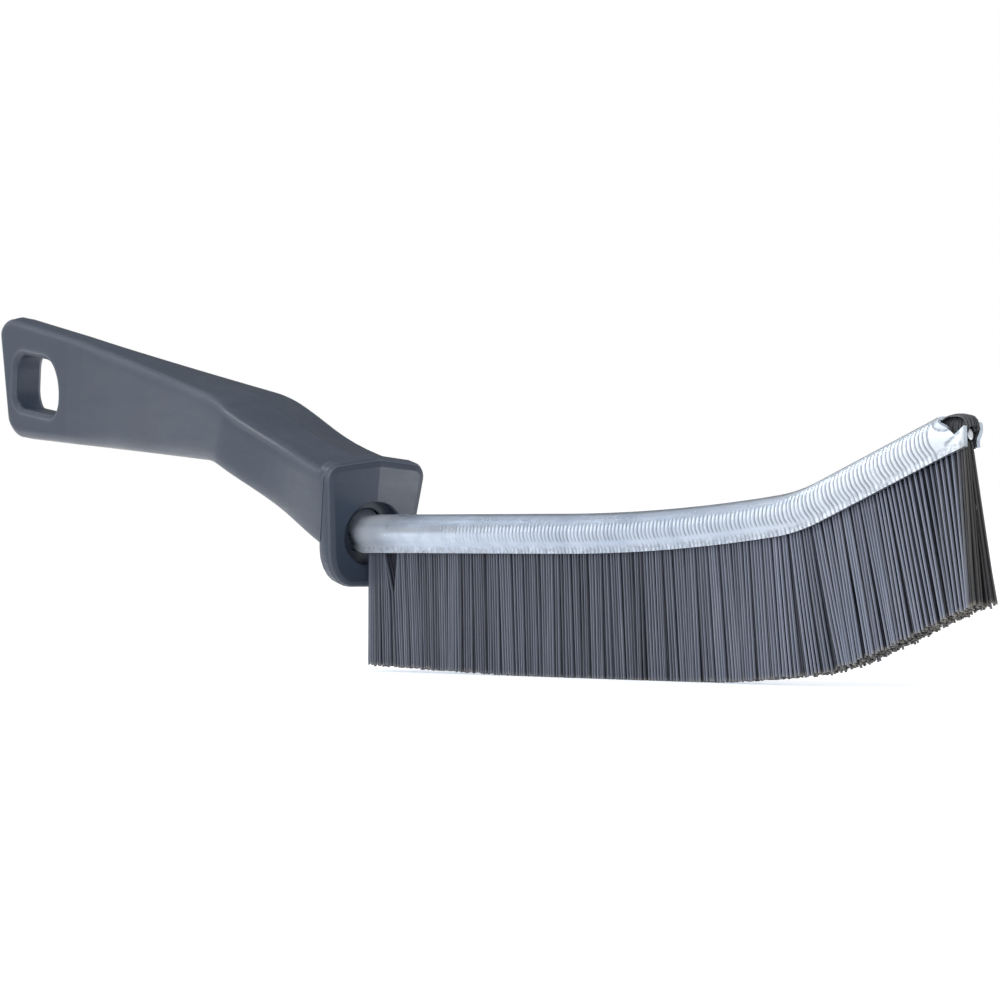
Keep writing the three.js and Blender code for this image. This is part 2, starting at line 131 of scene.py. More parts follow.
STRIP_TOP = STRIP_HEIGHT / 2
STRIP_FOOT = -STRIP_HEIGHT / 2
CROWN_RADIUS = CROWN_WIDTH / 2
CROWN_LEVEL = STRIP_TOP - CROWN_RADIUS
STRIP_END = HEEL_LENGTH + SWEEP_LENGTH + KICK_LENGTH + TOE_LENGTH
KICK_START = HEEL_LENGTH + SWEEP_LENGTH

# Start of the bristles: along the strip from the tang's lower corner, which is the channel's
# hindmost point, and in height from the heel's roots, which end just under the crown
TANG_TURN = math.radians(TANG_ANGLE)
TANG_REACH = TANG_LENGTH * math.cos(TANG_TURN)
TANG_REACH += (TANG_BEND_RADIUS + STRIP_TOP) * math.sin(TANG_TURN)
channel_low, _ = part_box("strip_channel")
_, heel_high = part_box("bristles_heel")
ORIGIN = Vector(
    (
        channel_low.x + MM * TANG_REACH,
        0.0,
        heel_high.z - MM * (CROWN_LEVEL + CROWN_RADIUS - SHEET - FIT),
    )
)


def ease(low, high, value):
    share = min(1.0, max(0.0, (value - low) / (high - low)))
    return share * share * (3 - 2 * share)


def lerp(a, b, share):
    return a + (b - a) * share


# Route of the strip: lengths are measured from the start of the bristles


def follow(place, length, turn, distance):
    x, z, heading = place
    bend = turn * distance / length
    reach = distance * math.sin(bend / 2) / (bend / 2) if abs(bend) > 1e-9 else distance
    chord = heading + bend / 2
    return x + reach * math.cos(chord), z + reach * math.sin(chord), heading + bend


def lay_route():
    bend_length = TANG_BEND_RADIUS * TANG_TURN
    x = -TANG_LENGTH * math.cos(TANG_TURN) - TANG_BEND_RADIUS * math.sin(TANG_TURN)
    z = TANG_LENGTH * math.sin(TANG_TURN) + TANG_BEND_RADIUS * (1 - math.cos(TANG_TURN))
    place = (x, z, -TANG_TURN)
    start = -TANG_LENGTH - bend_length
    laid = []
    for length, bend in (
        (TANG_LENGTH, 0.0),
        (bend_length, TANG_TURN),
        (HEEL_LENGTH, 0.0),
        (SWEEP_LENGTH, math.radians(SWEEP_ANGLE)),
        (KICK_LENGTH, math.radians(KICK_ANGLE)),
        (TOE_LENGTH, 0.0),
    ):
        laid.append((start, length, bend, place))
        place = follow(place, length, bend, length)
        start += length
    return laid


ROUTE = lay_route()


def place_at(s):
    for start, length, bend, place in reversed(ROUTE):
        if s >= start:
            return follow(place, length, bend, s - start)
    start, length, bend, place = ROUTE[0]
    return follow(place, length, bend, s - start)


def point(s, y, up):
    x, z, heading = place_at(s)
    return ORIGIN + MM * Vector((x - up * math.sin(heading), y, z + up * math.cos(heading)))


def lead(s):
    heading = place_at(s)[2]
    return Vector((math.cos(heading), 0.0, math.sin(heading)))


def rise(along):
    """Direction square to the strip's own, in the plane that it bends in."""
    return Vector((-along.z, 0.0, along.x))


# Meshes


def make_mesh(name, verts, faces, attributes=None):
    mesh = bpy.data.meshes.new(name)
    mesh.from_pydata(verts, [], faces)
    for label, values in (attributes or {}).items():
        layer = mesh.attributes.new(label, "FLOAT", "POINT")
        layer.data.foreach_set("value", values)
    mesh.update()
    obj = bpy.data.objects.new(name, mesh)
    scene.collection.objects.link(obj)
    return obj


def shading_group(degrees):
    group = bpy.data.node_groups.new(f"smooth_under_{degrees}", "GeometryNodeTree")
    group.interface.new_socket("Geometry", in_out="INPUT", socket_type="NodeSocketGeometry")
    group.interface.new_socket("Geometry", in_out="OUTPUT", socket_type="NodeSocketGeometry")
    enter = group.nodes.new("NodeGroupInput")
    leave = group.nodes.new("NodeGroupOutput")
    faces = group.nodes.new("GeometryNodeSetShadeSmooth")
    faces.domain = "FACE"
    edges = group.nodes.new("GeometryNodeSetShadeSmooth")
    edges.domain = "EDGE"
    edges.inputs["Shade Smooth"].default_value = False
    angle = group.nodes.new("GeometryNodeInputMeshEdgeAngle")
    sharp = group.nodes.new("FunctionNodeCompare")
    sharp.operation = "GREATER_THAN"
    sharp.inputs[1].default_value = math.radians(degrees)
    group.links.new(angle.outputs["Unsigned Angle"], sharp.inputs[0])
    group.links.new(sharp.outputs[0], edges.inputs["Selection"])
    group.links.new(enter.outputs[0], faces.inputs["Geometry"])
    group.links.new(faces.outputs[0], edges.inputs["Geometry"])
    group.links.new(edges.outputs[0], leave.inputs[0])
    return group


def smooth_shade(obj, degrees):
    modifier = obj.modifiers.new("smooth_shade", "NODES")
    modifier.node_group = shading_group(degrees)


# Channel: one sheet swept along the route with its ribs, cut at the toe and given its thickness


def sheet_outline():
    mouth = math.asin(LIP_WIDTH / 2 / CROWN_RADIUS)
    crease = CROWN_LEVEL - CROWN_RADIUS * math.cos(mouth)
    lip_steps = max(2, round((crease - STRIP_FOOT) / OUTLINE_STEP))
    near_lip = [
        (-LIP_WIDTH / 2, lerp(STRIP_FOOT, crease, i / lip_steps)) for i in range(lip_steps)
    ]
    sweep = 2 * math.pi - 2 * mouth
    arc_steps = round(sweep * CROWN_RADIUS / OUTLINE_STEP)
    crown = []
    for i in range(arc_steps + 1):
        angle = 1.5 * math.pi - mouth - sweep * i / arc_steps
        crown.append((CROWN_RADIUS * math.cos(angle), CROWN_LEVEL + CROWN_RADIUS * math.sin(angle)))
    far_lip = [(-y, up) for y, up in reversed(near_lip)]
    outline = near_lip + crown + far_lip
    for _ in range(2):
        inner = [
            (
                (before[0] + 2 * here[0] + after[0]) / 4,
                (before[1] + 2 * here[1] + after[1]) / 4,
            )
            for before, here, after in zip(outline, outline[1:], outline[2:])
        ]
        outline = [outline[0], *inner, outline[-1]]
    return outline


def outline_normals(outline):
    normals = []
    for i in range(len(outline)):
        before = outline[max(0, i - 1)]
        after = outline[min(len(outline) - 1, i + 1)]
        run = (after[0] - before[0], after[1] - before[1])
        size = math.hypot(*run)
        normals.append((-run[1] / size, run[0] / size))
    return normals


def rib_weight(s, up):
    change = ease(*RIB_CHANGE, s)
    top = lerp(*RIB_TOP, change)
    foot = lerp(*RIB_FOOT, change)
    weight = (1 - ease(top - RIB_TOP_FADE, top, up)) * ease(foot - RIB_FOOT_FADE, foot, up)
    lip = LIP_RIB_DEPTH * (1 - ease(*LIP_RIB_FADE, up))
    return max(weight, lip)


def rib_strength(s):
    return sum(ease(*stretch, s) / len(RIB_GROWTH) for stretch in RIB_GROWTH)


def painted_crown_reflection(up):
    """Painted darker reflection: a line above the ribs, and the very top."""
    level, width, tone = CROWN_REFLECTION_LINE
    line = tone * math.exp(-(((up - level) / width) ** 2))
    return line + CROWN_TOP_REFLECTION * ease(*CROWN_TOP_REFLECTION_FADE, up)


def lay_grooves(rng):
    grooves = []
    s = RIB_START
    while s < STRIP_END - RIB_TOE_MARGIN:
        centre = s + rng.uniform(-GROOVE_SHIFT, GROOVE_SHIFT)
        grooves.append((centre, rng.uniform(*GROOVE_SIZES)))
        s += RIB_PITCH
    return grooves


def groove_depth(grooves, s, up):
    index = round((s - RIB_START) / RIB_PITCH)
    depth = 0.0
    for centre, size in grooves[max(0, index - 1):max(0, index + 2)]:
        reach = abs(s - centre) / GROOVE_HALF
        if reach < 1:
            depth = max(depth, size * math.cos(math.pi / 2 * reach) ** 2)
    return GROOVE_DEPTH * depth * rib_strength(s) * rib_weight(s, up)


# Buckle line that the bend at the kick leaves along the near side
BUCKLE = ((118.0, -0.4), (134.0, 0.15), (152.0, -1.0))
BUCKLE_WIDTH = 0.22
BUCKLE_DEPTH = 0.06


def buckle_depth(s, y, up):
    if y > 0 or not BUCKLE[0][0] < s < BUCKLE[-1][0]:
        return 0.0
    for (s0, up0), (s1, up1) in zip(BUCKLE, BUCKLE[1:]):
        if s0 <= s <= s1:
            level = lerp(up0, up1, (s - s0) / (s1 - s0))
    return BUCKLE_DEPTH * math.exp(-(((up - level) / BUCKLE_WIDTH) ** 2))


# Near wall at the toe end: half widths that its foot and top are pressed to, how far it reaches on,
# the length and level that this takes up, and the levels that it fades between
NEAR_FOOT = 1.45
NEAR_TOP = 0.95
NEAR_REACH = 0.9
PINCH_LENGTH = 6.0
PINCH_LEVEL = 0.2
PINCH_FADE = (0.2, 1.6)
REACH_FADE = (0.3, 1.4)
NEAR_SIDE = -0.05

# Cuts of the near wall at the toe end: distance from the strip's end, and level
CROWN_EDGE = ((-4.0, 2.9), (-1.2, -0.6))
PLATE_EDGE = ((-4.0, -1.8), (1.0, 0.0))
# Creases pressed into the near wall there: round the crown's cap, and on from the plate's edge
CREASES = (
    ((-4.5, 1.9), (-4.1, 0.95), (-3.5, 0.4), (-2.4, 0.05), (-1.0, -0.35)),
    ((-3.4, -1.58), (-1.0, -0.72)),
)
CREASE_REACH = 7
PRESS_DEPTH = 0.12
PRESS_WIDTH = 0.22


def press_mark(s, y, up):
    """Strength of the creases at the toe end, from 0 to 1."""
    if y > 0 or s < STRIP_END - CREASE_REACH:
        return 0.0
    here = Vector((s - STRIP_END, up))
    nearest = math.inf
    for crease in CREASES:
        for first, last in zip(crease, crease[1:]):
            run = Vector(last) - Vector(first)
            share = (here - Vector(first)).dot(run) / run.length_squared
            foot = Vector(first) + run * min(1.0, max(0.0, share))
            nearest = min(nearest, (here - foot).length)
    return math.exp(-((nearest / PRESS_WIDTH) ** 2))


def pinch(s, y, up):
    """The near wall is pressed in at the toe end, and leans over the filaments."""
    if y > 0:
        return y
    amount = ease(STRIP_END - PINCH_LENGTH, STRIP_END, s) * (1 - ease(*PINCH_FADE, up))
    level = (up - STRIP_FOOT) / (PINCH_LEVEL - STRIP_FOOT)
    pressed = -lerp(NEAR_FOOT, NEAR_TOP, min(1.0, level))
    return lerp(y, max(y, pressed), amount)


def drawn_out(s, y, up):
    """The pressed wall ends a little beyond the rest of the channel."""
    if y > 0:
        return s
    reach = ease(STRIP_END - PINCH_LENGTH, STRIP_END, s) * (1 - ease(*REACH_FADE, up))
    return s + NEAR_REACH * reach


def channel_stops():
    stops = []
    start = ROUTE[0][0]
    bend_start = ROUTE[1][0]
    stops += [lerp(start, bend_start, i / TANG_RINGS) for i in range(TANG_RINGS)]
    stops += [lerp(bend_start, 0, i / BEND_RINGS) for i in range(BEND_RINGS)]
    step = RIB_PITCH / RINGS_PER_RIB
    count = round(STRIP_END / step)
    stops += [STRIP_END * i / count for i in range(count + 1)]
    return stops


def cut_near_wall(shell, along, upward):
    """Takes away what lies past the crown's edge and above the plate's edge."""
    planes = []
    for (past0, up0), (past1, up1) in (CROWN_EDGE, PLATE_EDGE):
        normal = upward * (past1 - past0) - along * (up1 - up0)
        planes.append((point(STRIP_END + past0, 0.0, up0), normal.normalized()))
    start = point(STRIP_END - PINCH_LENGTH, 0.0, 0.0).x

    def is_near(place):
        return place.y < NEAR_SIDE * MM and place.x > start

    def near_faces():
        return [face for face in shell.faces if is_near(face.calc_center_median())]

    for place, normal in planes:
        faces = near_faces()
        edges = {edge for face in faces for edge in face.edges}
        verts = {vert for face in faces for vert in face.verts}
        bmesh.ops.bisect_plane(
            shell, geom=[*verts, *edges, *faces], plane_co=place, plane_no=normal
        )
    away = [
        face
        for face in near_faces()
        if all((face.calc_center_median() - place).dot(normal) > 0 for place, normal in planes)
    ]
    bmesh.ops.delete(shell, geom=away, context="FACES")


def make_channel():
    rng = random.Random(SEED)
    grooves = lay_grooves(rng)
    outline = sheet_outline()
    normals = outline_normals(outline)
    stops = channel_stops()
    verts, grain, groove_shade, dull, bright, crown_reflection = [], [], [], [], [], []
    for s in stops:
        for (y, up), (ny, nup) in zip(outline, normals):
            groove = groove_depth(grooves, s, up)
            mark = press_mark(s, y, up)
            depth = groove + buckle_depth(s, y, up) + PRESS_DEPTH * mark
            side = pinch(s, y - depth * ny, up)
            verts.append(point(drawn_out(s, y, up), side, up - depth * nup))
            grain.append(1 - ease(*LIP_GRAIN_FADE, up))
            # Painted shade in the grooves and in the creases at the toe end
            groove_shade.append(max(groove / GROOVE_DEPTH, mark))
            dull.append(1 - ease(*HEEL_DULL_FADE, s))
            # Painted highlight, brightening the sheet towards the toe
            bright.append(ease(*TOE_HIGHLIGHT_FADE, s))
            # Painted darker reflection on the crown, fading out before the toe
            crown_reflection.append(painted_crown_reflection(up) * (1 - ease(*CROWN_REFLECTION_END, s)))
    faces = []
    width = len(outline)
    for i in range(len(stops) - 1):
        for j in range(width - 1):
            a = i * width + j
            faces.append((a, a + width, a + width + 1, a + 1))
    looks = {"grain": grain, "groove_shade": groove_shade, "dull": dull, "bright": bright, "crown_reflection": crown_reflection}
    obj = make_mesh("channel", verts, faces, looks)
    shell = bmesh.new()
    shell.from_mesh(obj.data)
    along = lead(STRIP_END)
    upward = rise(along)
    bmesh.ops.bisect_plane(
        shell,
        geom=shell.verts[:] + shell.edges[:] + shell.faces[:],
        plane_co=point(STRIP_END - TOE_CUT_LENGTH, 0.0, STRIP_TOP),
        plane_no=(along * TOE_CUT_DEPTH + upward * TOE_CUT_LENGTH).normalized(),
        clear_outer=True,
    )
    cut_near_wall(shell, along, upward)
    shell.to_mesh(obj.data)
    shell.free()
    thick = obj.modifiers.new("sheet", "SOLIDIFY")
    thick.thickness = SHEET * MM
    thick.offset = -1.0
    smooth_shade(obj, SHEET_SMOOTH)
    return obj


# Filaments


def bristle_length(s):
    if s < KICK_START:
        return lerp(HEEL_BRISTLE, KICK_BRISTLE, max(0.0, s) / KICK_START)
    return lerp(KICK_BRISTLE, TOE_BRISTLE, min(1.0, (s - KICK_START) / KICK_LENGTH))


def splay(distance, stretch):
    return max(0.0, 1 - distance / stretch) ** SPLAY_POWER


def tip_lead(s):
    heel = splay(max(0.0, s), HEEL_SPLAY)
    toe = splay(STRIP_END - s, TOE_SPLAY)
    return TIP_LEAD - HEEL_PUSH * heel - TOE_PUSH * toe


class Bundle:
    """Tubes gathered into one mesh."""

    def __init__(self):
        self.verts = []
        self.faces = []
        self.tip = []
        self.shade = []
        self.end_dark = []

    def add(self, centres, sides, radius, shades, shares, end_dark):
        first = len(self.verts)
        count = FILAMENT_SIDES
        for centre, share, shade, (across, along) in zip(centres, shares, shades, sides):
            for i in range(count):
                angle = 2 * math.pi * i / count
                offset = math.cos(angle) * across + math.sin(angle) * along
                self.verts.append(centre + radius * offset)
                self.tip.append(share)
                self.shade.append(shade)
                self.end_dark.append(end_dark)
        for ring in range(len(centres) - 1):
            for i in range(count):
                a = first + ring * count + i
                b = first + ring * count + (i + 1) % count
                self.faces.append((a, a + count, b + count, b))
        last = first + (len(centres) - 1) * count
        self.faces.append(tuple(range(first, first + count)))
        self.faces.append(tuple(last + i for i in reversed(range(count))))


ACROSS = Vector((0.0, 1.0, 0.0))

# Near the heel the roots part round a gap that closes lower down
HEEL_GAP = (4.8, 7.2, 9.4)
GAP_PULL = 0.9
GAP_CLOSE = (0.0, 0.42)
GAP_SIDE = -0.3

# Shadow under the channel's lip, which is deeper towards the toe
LIP_SHADOW = (0.02, 0.12)
LIP_SHADOW_DEPTH = 0.35
LIP_SHADOW_TOE = 0.5
LIP_SHADOW_CHANGE = (110, 135)
SPREAD_POWER = 1.1

# Clumps of the outside layers: widest and narrowest at the heel and after each change, and tones
CLUMP_WIDEST = (6.5, 3.6, 2.6, 0.6)
CLUMP_NARROWEST = (2.0, 0.8, 0.6, 0.2)
CLUMP_CHANGES = ((20, 60), (95, 125), (134, 158))
CLUMP_SHIFT = (0.26, 0.1)
CLUMP_PART = 0.1
CLUMP_GAP = (0.12, 0.5, 0.2)
OUTER_TONE = (0.55, 0.8)
OUTER_TONE_GAIN = (0.54, 1.42)
OUTER_TONE_CHANGE = (60, 150)
OUTER_TONE_VARY = (-0.16, 0.2)
OUTER_PITCH_VARY = (0.9, 1.06)
HEEL_CLOSE_SET = (0, 5)
# Inner layers: a far darker tone than the outside ones, painted shade between the strands,
# deepening towards the toe
INNER_PAINTED_SHADE = (0.05, 0.3)
INNER_PAINTED_SHADE_GAIN = (1.0, 0.35)
INNER_PAINTED_SHADE_CHANGE = (100, 140)
INNER_SHIFT = 0.15
INNER_PART = 0.1
INNER_PITCH_VARY = (0.8, 1.2)
END_MARGIN = 0.15
INNER_END_MARGIN = 0.1

# How single strands vary, and how the last ones at the toe stray and are darkened
TOE_LAST = (2.6, 0.8)
LEAD_VARY = (0.07, 0.45)
ROOT_VARY = 0.06
TIP_VARY = 0.08
LENGTH_VARY = (-0.32, 0.1)
RADIUS_VARY = (0.94, 1.06)
END_DARK_VARY = (0.5, 1.0)
HEEL_STEADY = (0.0, 5.0)


def root_shift(s):
    low, middle, high = HEEL_GAP
    if not low < s < high:
        return 0.0
    return GAP_PULL * (low - s if s < middle else high - s)


def add_strand(bundle, s, root, tip, lead_length, length, radius, shade, end_dark=0.0, shift=0.0):
    centres, shades = [], []
    top = STRIP_FOOT + ROOT_LEVEL
    foot = STRIP_FOOT - length
    depth = LIP_SHADOW_DEPTH + LIP_SHADOW_TOE * ease(*LIP_SHADOW_CHANGE, s)
    for share in FILAMENT_STEPS:
        y = lerp(root, tip, share**SPREAD_POWER)
        along = s + lead_length * share + shift * (1 - ease(*GAP_CLOSE, share))
        centre = point(along, y, lerp(top, foot, share))
        centre.z = max(centre.z, 0.0)
        centres.append(centre)
        shades.append(shade * lerp(1.0, ease(*LIP_SHADOW, share), depth))
    sides = [(ACROSS, lead(s))] * len(centres)
    bundle.add(centres, sides, radius * MM, shades, FILAMENT_STEPS, end_dark)


def clump_size(sizes, s):
    size = sizes[0]
    for following, change in zip(sizes[1:], CLUMP_CHANGES):
        size = lerp(size, following, ease(*change, s))
    return size


def lay_outer(rng, side):
    """Strands of an outside layer, in clumps that part from each other towards the tips."""
    strands = []
    s = END_MARGIN
    last = STRIP_END - END_MARGIN
    while s < last:
        toe = ease(*CLUMP_CHANGES[-1], s)
        size = rng.uniform(clump_size(CLUMP_NARROWEST, s), clump_size(CLUMP_WIDEST, s))
        stop = min(s + size, last)
        shift = rng.gauss(0, lerp(*CLUMP_SHIFT, toe))
        part = rng.gauss(0, CLUMP_PART)
        gain = lerp(*OUTER_TONE_GAIN, ease(*OUTER_TONE_CHANGE, s))
        tone = rng.uniform(*OUTER_TONE) * gain
        while s < stop:
            strands.append((s, side, shift, part, tone + rng.uniform(*OUTER_TONE_VARY)))
            pitch = lerp(END_PITCH, OUTER_PITCH, ease(*HEEL_CLOSE_SET, s))
            s += lerp(pitch, TOE_PITCH, toe) * rng.uniform(*OUTER_PITCH_VARY)
        least, most, most_at_toe = CLUMP_GAP
        s += rng.uniform(least, lerp(most, most_at_toe, toe))
    return strands


def lay_inner(rng, side):
    strands = []
    s = END_MARGIN
    while s < STRIP_END - INNER_END_MARGIN:
        # Inner strands are painted darker: shade between the strands
        gain = lerp(*INNER_PAINTED_SHADE_GAIN, ease(*INNER_PAINTED_SHADE_CHANGE, s))
        tone = rng.uniform(*INNER_PAINTED_SHADE) * gain
        shift = rng.gauss(0, INNER_SHIFT)
        strands.append((s, side, shift, rng.gauss(0, INNER_PART), tone))
        s += INNER_PITCH * rng.uniform(*INNER_PITCH_VARY)
    return strands


def make_bristles():
    rng = random.Random(SEED + 1)
    names = ["bristles_heel", "bristles_rear", "bristles_front", "bristles_toe"]
    share = STRIP_END / len(names)
    bundles = [Bundle() for _ in names]
    strands = lay_outer(rng, -1.0) + lay_outer(rng, 1.0)
    for layer in range(1, LAYERS - 1):
        strands += lay_inner(rng, lerp(-1.0, 1.0, layer / (LAYERS - 1)))
    for s, side, shift, part, tone in strands:
        bundle = bundles[min(int(s / share), len(names) - 1)]
        spread = lerp(TIP_SPREAD, TOE_TIP_SPREAD, splay(STRIP_END - s, TOE_SPLAY))
        end = ease(STRIP_END - TOE_LAST[0], STRIP_END - TOE_LAST[1], s)
        stray = lerp(*LEAD_VARY, end)
        ahead = tip_lead(s) - TOE_TRIM * end + shift * ease(*HEEL_STEADY, s)
        add_strand(
            bundle,
            s,
            ROOT_HALF * side + rng.uniform(-ROOT_VARY, ROOT_VARY),
            spread * side + part + rng.uniform(-TIP_VARY, TIP_VARY),
            ahead + rng.uniform(-stray, stray),
            bristle_length(s) + rng.uniform(*LENGTH_VARY),
            FILAMENT / 2 * rng.uniform(*RADIUS_VARY),
            min(1.0, max(0.0, tone)),
            end * rng.uniform(*END_DARK_VARY),
            root_shift(s) if side < GAP_SIDE else 0.0,
        )
    add_hood(bundles[-1], rng)
    pieces = []
    for name, bundle in zip(names, bundles):
        obj = make_mesh(
            name.replace("bristles", "filaments"),
            bundle.verts,
            bundle.faces,
            {"tip": bundle.tip, "shade": bundle.shade, "end_dark": bundle.end_dark},
        )
        smooth_shade(obj, FILAMENT_SMOOTH)
        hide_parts(name)
        pieces.append(obj)
    return pieces


# Filaments folded over the wire at the toe end: where they start and end, and their sizes
HOOD_START = 4.6
HOOD_END = 0.6
HOOD_STEPS = 9
HOOD_FILAMENT = 0.28
HOOD_LAYERS = 3
HOOD_BASE = -0.6
HOOD_TOP = (1.35, 2.4)
HOOD_TOP_LENGTH = 4.5
HOOD_TOP_VARY = (-0.12, 0.05)
HOOD_TOP_STEP = 0.3
HOOD_NEAR = -0.45
HOOD_NEAR_STEP = 0.2
HOOD_FAR = 1.75
HOOD_FAR_STEP = 0.3
HOOD_SIDE_VARY = 0.1
HOOD_SKEW = 0.3
HOOD_POWER = 0.8
HOOD_PITCH_VARY = (0.9, 1.1)
HOOD_TONE = (0.2, 0.62)
HOOD_END_DARK = 0.7
HOOD_SHARE = 0.2

# Top of the filaments that are folded over the end: distance past the strip's end, and level
HOOD_PROFILE = (
    (-4.8, 2.15),
    (-4.2, 2.42),
    (-3.4, 2.54),
    (-2.4, 2.4),
    (-1.0, 2.0),
    (0.3, 1.45),
    (0.85, 0.8),
    (1.0, 0.2),
    (1.0, -0.2),
)


def add_hood(bundle, rng):
    """Filaments folded over the wire, bare where the crown is cut away."""
    for layer in range(HOOD_LAYERS):
        s = STRIP_END - HOOD_START
        while s < STRIP_END + HOOD_END:
            reach = STRIP_END - s
            top = lerp(*HOOD_TOP, min(1.0, max(0.0, reach / HOOD_TOP_LENGTH)))
            top += rng.uniform(*HOOD_TOP_VARY) - HOOD_TOP_STEP * layer
            near = HOOD_NEAR + HOOD_NEAR_STEP * layer
            near += rng.uniform(-HOOD_SIDE_VARY, HOOD_SIDE_VARY)
            far = HOOD_FAR - HOOD_FAR_STEP * layer
            far += rng.uniform(-HOOD_SIDE_VARY, HOOD_SIDE_VARY)
            skew = rng.uniform(-HOOD_SKEW, HOOD_SKEW)
            along = lead(s)
            upward = rise(along)
            centres, sides = [], []
            for i in range(HOOD_STEPS):
                angle = math.pi * i / (HOOD_STEPS - 1)
                y = (near + far) / 2 - (far - near) / 2 * math.cos(angle)
                up = HOOD_BASE + (top - HOOD_BASE) * math.sin(angle) ** HOOD_POWER
                centres.append(point(s + skew * math.cos(angle), y, up))
                out = -math.cos(angle) * ACROSS + math.sin(angle) * upward
                sides.append((along, out))
            shades = [rng.uniform(*HOOD_TONE)] * HOOD_STEPS
            shares = [HOOD_SHARE] * HOOD_STEPS
            bundle.add(centres, sides, HOOD_FILAMENT / 2 * MM, shades, shares, HOOD_END_DARK)
            s += HOOD_FILAMENT * rng.uniform(*HOOD_PITCH_VARY)
    lay_over_end(bundle, rng)


# Filaments over the end: from side to side, the fall away from their middle, and how they vary
OVER_SIDES = (-0.3, 1.75)
OVER_MIDDLE = 0.6
OVER_FALL = 0.22
OVER_DRAW_BACK = 0.25
OVER_SKEW = 0.35
OVER_TURN = (0.5, 0.9)
OVER_TONE = (0.3, 0.85)
OVER_END_DARK = 0.8
OVER_PITCH_VARY = (0.75, 1.05)


def lay_over_end(bundle, rng):
    """Filaments that lie along the top of the bare stretch and turn down over the end."""
    along = lead(STRIP_END)
    upward = rise(along)
    y = OVER_SIDES[0]
    while y < OVER_SIDES[1]:
        fall = OVER_FALL * (y - OVER_MIDDLE) ** 2
        back = OVER_DRAW_BACK * abs(y - OVER_MIDDLE)
        skew = rng.uniform(-OVER_SKEW, OVER_SKEW)
        centres, sides = [], []
        for i, (past, level) in enumerate(HOOD_PROFILE):
            share = i / (len(HOOD_PROFILE) - 1)
            side = y + skew * (share - 0.5)
            centres.append(point(STRIP_END + past - back, side, level - fall * (1 - share / 2)))
            tilt = math.pi / 2 * ease(*OVER_TURN, share)
            sides.append((ACROSS, math.cos(tilt) * upward + math.sin(tilt) * along))
        shades = [rng.uniform(*OVER_TONE)] * len(centres)
        shares = [HOOD_SHARE] * len(centres)
        bundle.add(centres, sides, HOOD_FILAMENT / 2 * MM, shades, shares, OVER_END_DARK)
        y += HOOD_FILAMENT * rng.uniform(*OVER_PITCH_VARY)


# Wire: its turned-down end, as place across, level and half sizes
WIRE_RADIUS = 1.1
WIRE_TURN = (9.0, 1.0)
WIRE_END = (0.55, -0.95)
WIRE_END_HALF = (0.46, 0.82)
WIRE_CHAMFER = 0.15
WIRE_SIDES = 18
WIRE_RINGS = 120


def make_wire():
    """Wire that is pinched off flat at the toe and turned down under the filaments."""
    start, stop = ROUTE[0][0], STRIP_END
    stops = [lerp(start, stop - WIRE_CHAMFER, i / WIRE_RINGS) for i in range(WIRE_RINGS + 1)]
    stops.append(stop)
    verts, faces = [], []
    for s in stops:
        turn = ease(stop - WIRE_TURN[0], stop - WIRE_TURN[1], s)
        y = WIRE_END[0] * turn
        up = lerp(CROWN_LEVEL, WIRE_END[1], turn)
        cut = WIRE_CHAMFER if s == stop else 0.0
        wide = lerp(WIRE_RADIUS, WIRE_END_HALF[0], turn) - cut
        tall = lerp(WIRE_RADIUS, WIRE_END_HALF[1], turn) - cut
        for i in range(WIRE_SIDES):
            angle = 2 * math.pi * i / WIRE_SIDES
            verts.append(point(s, y + wide * math.cos(angle), up + tall * math.sin(angle)))
    for ring in range(len(stops) - 1):
        for i in range(WIRE_SIDES):
            a = ring * WIRE_SIDES + i
            b = ring * WIRE_SIDES + (i + 1) % WIRE_SIDES
            faces.append((a, b, b + WIRE_SIDES, a + WIRE_SIDES))
    last = (len(stops) - 1) * WIRE_SIDES
    faces.append(tuple(reversed(range(WIRE_SIDES))))
    faces.append(tuple(last + i for i in range(WIRE_SIDES)))
    obj = make_mesh("wire", verts, faces)
    smooth_shade(obj, WIRE_SMOOTH)
    return obj


# Materials

# Sockets of the mix node by number, because those for each kind of value share their names
MIX_SHARE = 0
MIX_COLOURS = (6, 7)
MIX_COLOUR_OUT = 2
MIX_VECTORS = (4, 5)
MIX_VECTOR_OUT = 1


def new_material(name):
    material = bpy.data.materials.new(name)
    material.use_nodes = True
    tree = material.node_tree
    return material, tree, tree.nodes["Principled BSDF"]


def feed(tree, socket, value):
    if isinstance(value, bpy.types.NodeSocket):
        tree.links.new(value, socket)
    else:
        socket.default_value = value


def add_node(tree, kind, output=0, settings=None, **inputs):
    node = tree.nodes.new(kind)
    for key, value in (settings or {}).items():
        setattr(node, key, value)
    for key, value in inputs.items():
        feed(tree, node.inputs[key.replace("_", " ")], value)
    return node.outputs[output]


def coordinates(tree, stretch=(1.0, 1.0, 1.0)):
    place = add_node(tree, "ShaderNodeTexCoord", output="Object")
    return add_node(tree, "ShaderNodeMapping", Vector=place, Scale=stretch)


def noise(tree, scale, detail=2.0, rough=0.5, stretch=(1.0, 1.0, 1.0)):
    return add_node(
        tree,
        "ShaderNodeTexNoise",
        output="Fac",
        Vector=coordinates(tree, stretch),
        Scale=scale,
        Detail=detail,
        Roughness=rough,
    )


def ramp(tree, value, low, high, to_low=0.0, to_high=1.0):
    return add_node(
        tree,
        "ShaderNodeMapRange",
        Value=value,
        From_Min=low,
        From_Max=high,
        To_Min=to_low,
        To_Max=to_high,
    )


